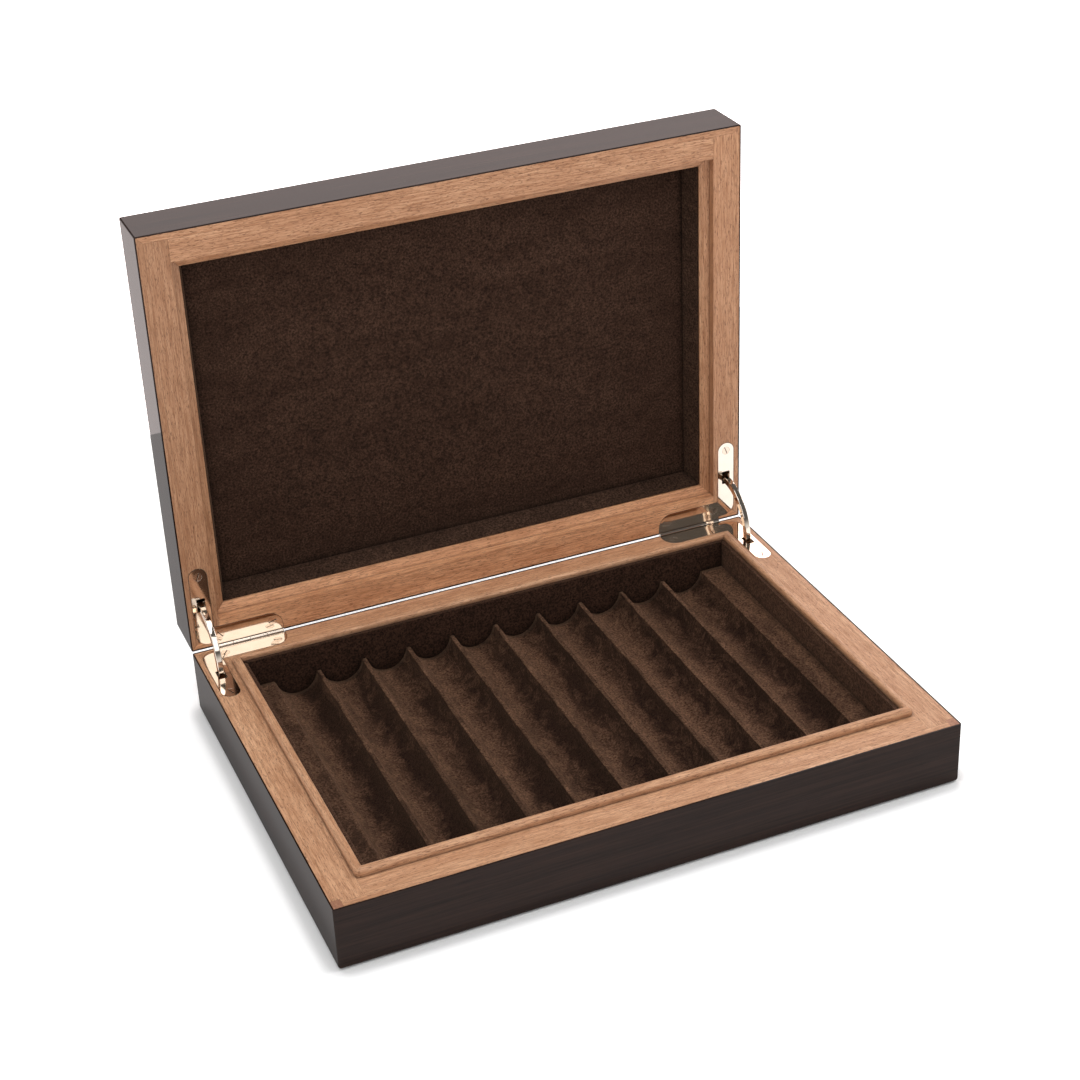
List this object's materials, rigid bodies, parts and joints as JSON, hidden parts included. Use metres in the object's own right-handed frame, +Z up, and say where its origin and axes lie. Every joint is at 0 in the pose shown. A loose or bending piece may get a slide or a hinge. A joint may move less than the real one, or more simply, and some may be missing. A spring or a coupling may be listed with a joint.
{
  "type": "pen collector chest",
  "caption": "Shallow hinged display chest for fountain pens, with a grooved suede tray, a rounded timber lip and quadrant hinges that stop the lid upright.",
  "frame": {"origin": "centre of the base's footprint, on the table", "axes": "+X to the right, +Y towards the hinged back, +Z up"},
  "size_m": [0.34, 0.2772, 0.2821],
  "materials": {
    "dark_veneer": "gloss lacquered dark ebony-like veneer",
    "light_timber": "satin light mahogany-like timber",
    "board": "plain unfinished board",
    "suede": "brushed dark brown suede",
    "felt": "dense dark felt",
    "gilt_brass": "polished rose-gold plate"
  },
  "bodies": {
    "base": {"base_front_wall": "light_timber", "base_right_wall": "light_timber", "base_back_wall": "light_timber", "base_left_wall": "light_timber", "base_front_facing": "light_timber", "base_right_facing": "light_timber", "base_back_facing": "light_timber", "base_left_facing": "light_timber", "base_front_veneer": "dark_veneer", "base_right_veneer": "dark_veneer", "base_back_veneer": "dark_veneer", "base_left_veneer": "dark_veneer", "base_corner_keys": "light_timber", "base_bottom_panel": "board", "base_felt": "felt", "base_front_lip": "light_timber", "base_right_lip": "light_timber", "base_back_lip": "light_timber", "base_left_lip": "light_timber", "base_front_lining": "suede", "base_right_lining": "suede", "base_back_lining": "suede", "base_left_lining": "suede", "tray_former": "board", "tray_suede": "suede", "left_base_leaf": "gilt_brass", "left_hinge_pin": "gilt_brass", "right_base_leaf": "gilt_brass", "right_hinge_pin": "gilt_brass", "base_leaf_screws": "gilt_brass"},
    "lid": {"lid_front_wall": "light_timber", "lid_right_wall": "light_timber", "lid_back_wall": "light_timber", "lid_left_wall": "light_timber", "lid_front_facing": "light_timber", "lid_right_facing": "light_timber", "lid_back_facing": "light_timber", "lid_left_facing": "light_timber", "lid_front_veneer": "dark_veneer", "lid_right_veneer": "dark_veneer", "lid_back_veneer": "dark_veneer", "lid_left_veneer": "dark_veneer", "lid_top_panel": "board", "lid_top_veneer": "dark_veneer", "lid_front_ledge": "light_timber", "lid_right_ledge": "light_timber", "lid_back_ledge": "light_timber", "lid_left_ledge": "light_timber", "lid_front_bevel": "suede", "lid_right_bevel": "suede", "lid_back_bevel": "suede", "lid_left_bevel": "suede", "lid_suede_panel": "suede", "left_lid_leaf": "gilt_brass", "right_lid_leaf": "gilt_brass", "lid_leaf_screws": "gilt_brass"},
    "left_arm": {"left_quadrant_arm": "gilt_brass"},
    "right_arm": {"right_quadrant_arm": "gilt_brass"}
  },
  "joints": [
    {"name": "lid_hinge", "type": "hinge", "parent": "base", "child": "lid", "pos_m": [0, 0.123, 0.0366], "axis": [1, 0, 0], "range_deg": [0, 90]},
    {"name": "left_arm_swing", "type": "hinge", "parent": "base", "child": "left_arm", "pos_m": [-0.1612, 0.123, 0.0366], "axis": [1, 0, 0], "range_deg": [0, 45]},
    {"name": "right_arm_swing", "type": "hinge", "parent": "base", "child": "right_arm", "pos_m": [0.1612, 0.123, 0.0366], "axis": [1, 0, 0], "range_deg": [0, 45]}
  ],
  "couplings": [
    {"joint": "left_arm_swing", "follows": "lid_hinge", "ratio": 0.5},
    {"joint": "right_arm_swing", "follows": "lid_hinge", "ratio": 0.5}
  ]
}
